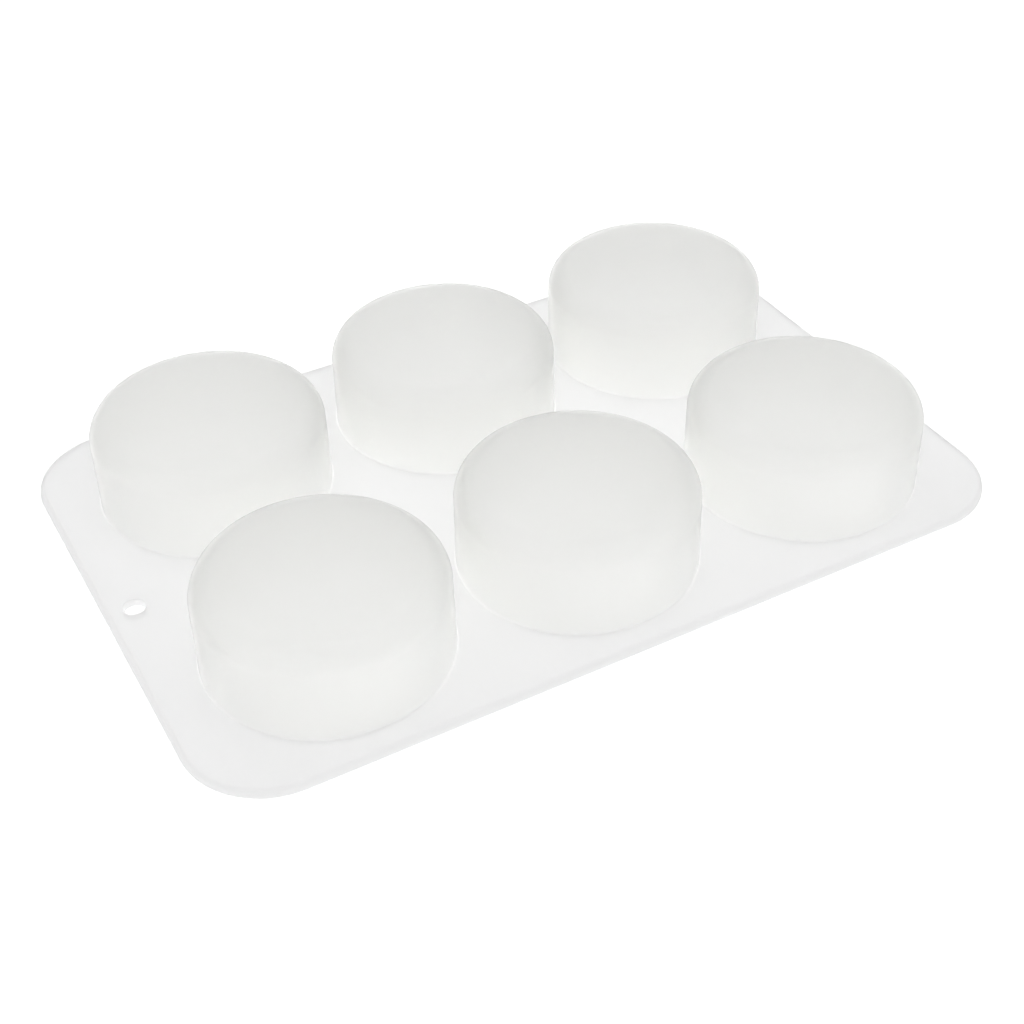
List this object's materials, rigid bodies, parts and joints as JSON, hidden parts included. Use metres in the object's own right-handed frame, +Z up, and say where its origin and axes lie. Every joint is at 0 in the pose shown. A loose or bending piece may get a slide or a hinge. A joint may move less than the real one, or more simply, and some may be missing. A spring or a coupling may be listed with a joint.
{
  "type": "silicone soap mould",
  "caption": "Silicone soap mould turned mouths down: an oblong flange with rounded corners and a hang hole, with rows of round cups whose floors push in.",
  "frame": {"origin": "middle of the flange's underside, which is the face that lies on a table when the mould is turned over to release the soap", "axes": "+X along the three columns of cups, with the hang hole at the -X end; +Y across the two rows; +Z up, from the mouths to the closed ends"},
  "size_m": [0.28, 0.185, 0.034],
  "materials": {
    "silicone_flange": "translucent white silicone, satin",
    "silicone_cups": "translucent white silicone, satin, a little greyer where nothing lies behind it"
  },
  "bodies": {
    "moulding": {"flange": "silicone_flange", "rim": "silicone_flange", "cup_1_wall": "silicone_cups", "cup_2_wall": "silicone_cups", "cup_3_wall": "silicone_cups", "cup_4_wall": "silicone_cups", "cup_5_wall": "silicone_cups", "cup_6_wall": "silicone_cups", "cup_1_shoulder": "silicone_cups", "cup_2_shoulder": "silicone_cups", "cup_3_shoulder": "silicone_cups", "cup_4_shoulder": "silicone_cups", "cup_5_shoulder": "silicone_cups", "cup_6_shoulder": "silicone_cups", "cup_1_flex_ring": "silicone_cups", "cup_2_flex_ring": "silicone_cups", "cup_3_flex_ring": "silicone_cups", "cup_4_flex_ring": "silicone_cups", "cup_5_flex_ring": "silicone_cups", "cup_6_flex_ring": "silicone_cups"},
    "floor_1": {"cup_1_floor": "silicone_cups"},
    "floor_2": {"cup_2_floor": "silicone_cups"},
    "floor_3": {"cup_3_floor": "silicone_cups"},
    "floor_4": {"cup_4_floor": "silicone_cups"},
    "floor_5": {"cup_5_floor": "silicone_cups"},
    "floor_6": {"cup_6_floor": "silicone_cups"}
  },
  "joints": [
    {"name": "push_out_1", "type": "slide", "parent": "moulding", "child": "floor_1", "axis": [0, 0, 1], "range_m": [-0.01, 0], "stiffness_N_per_m": 400, "deforming": ["cup_1_flex_ring"]},
    {"name": "push_out_2", "type": "slide", "parent": "moulding", "child": "floor_2", "axis": [0, 0, 1], "range_m": [-0.01, 0], "stiffness_N_per_m": 400, "deforming": ["cup_2_flex_ring"]},
    {"name": "push_out_3", "type": "slide", "parent": "moulding", "child": "floor_3", "axis": [0, 0, 1], "range_m": [-0.01, 0], "stiffness_N_per_m": 400, "deforming": ["cup_3_flex_ring"]},
    {"name": "push_out_4", "type": "slide", "parent": "moulding", "child": "floor_4", "axis": [0, 0, 1], "range_m": [-0.01, 0], "stiffness_N_per_m": 400, "deforming": ["cup_4_flex_ring"]},
    {"name": "push_out_5", "type": "slide", "parent": "moulding", "child": "floor_5", "axis": [0, 0, 1], "range_m": [-0.01, 0], "stiffness_N_per_m": 400, "deforming": ["cup_5_flex_ring"]},
    {"name": "push_out_6", "type": "slide", "parent": "moulding", "child": "floor_6", "axis": [0, 0, 1], "range_m": [-0.01, 0], "stiffness_N_per_m": 400, "deforming": ["cup_6_flex_ring"]}
  ]
}
